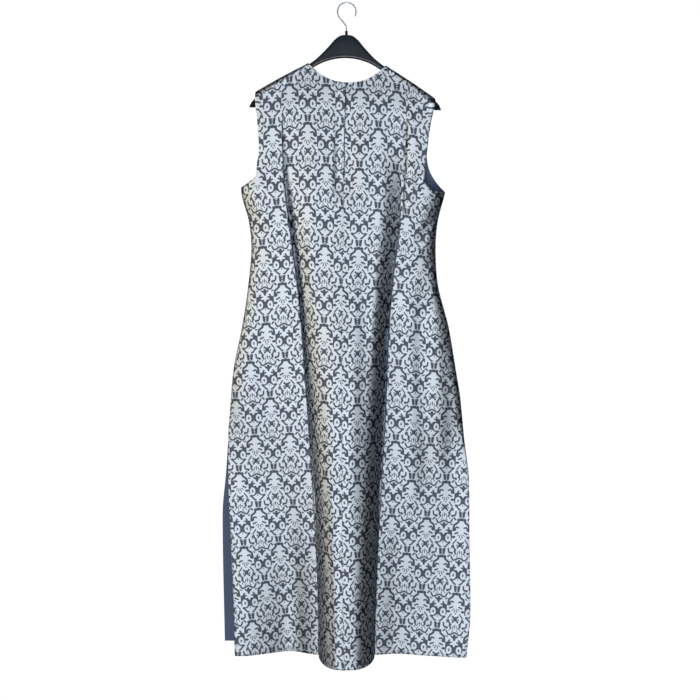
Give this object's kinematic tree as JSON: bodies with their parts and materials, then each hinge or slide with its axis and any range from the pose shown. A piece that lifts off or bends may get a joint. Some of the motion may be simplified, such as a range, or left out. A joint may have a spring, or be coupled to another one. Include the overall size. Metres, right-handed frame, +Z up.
{
  "type": "sleeveless a-line damask robe on a clothes hanger",
  "caption": "Sleeveless full-length robe in silver damask with a round neck, back zip, one deep back flute and slit sides, hung back-first on a broad plastic hanger with a wire hook.",
  "frame": {"origin": "inner top of the hanger's hook, where a rail would carry it", "axes": "+Z up, +X to the right of someone who looks at the robe's back, the back faces -Y"},
  "size_m": [0.5986, 0.2217, 1.5342],
  "materials": {
    "brocade": "silver-grey damask figure, satin, on a near-black ground",
    "lining": "plain slate-blue lining",
    "zip_tape": "matt woven tape",
    "zip_metal": "dark enamel",
    "hanger_plastic": "black moulded plastic with a soft shine",
    "hook_steel": "bright plated wire"
  },
  "bodies": {
    "robe": {"back_left": "brocade", "back_right": "brocade", "front": "brocade", "front_lining": "lining", "zip_tape": "zip_tape", "zip_slider": "zip_metal", "hanger_arms": "hanger_plastic", "hook_collar": "hanger_plastic", "hanger_hook": "hook_steel"},
    "pull_tab": {"zip_pull_tab": "zip_metal"}
  },
  "joints": [
    {"name": "pull_tab_hinge", "type": "hinge", "parent": "robe", "child": "pull_tab", "pos_m": [-0.0027, -0.02993, -0.21384], "axis": [-1, 0, 0], "range_deg": [0, 165]}
  ]
}
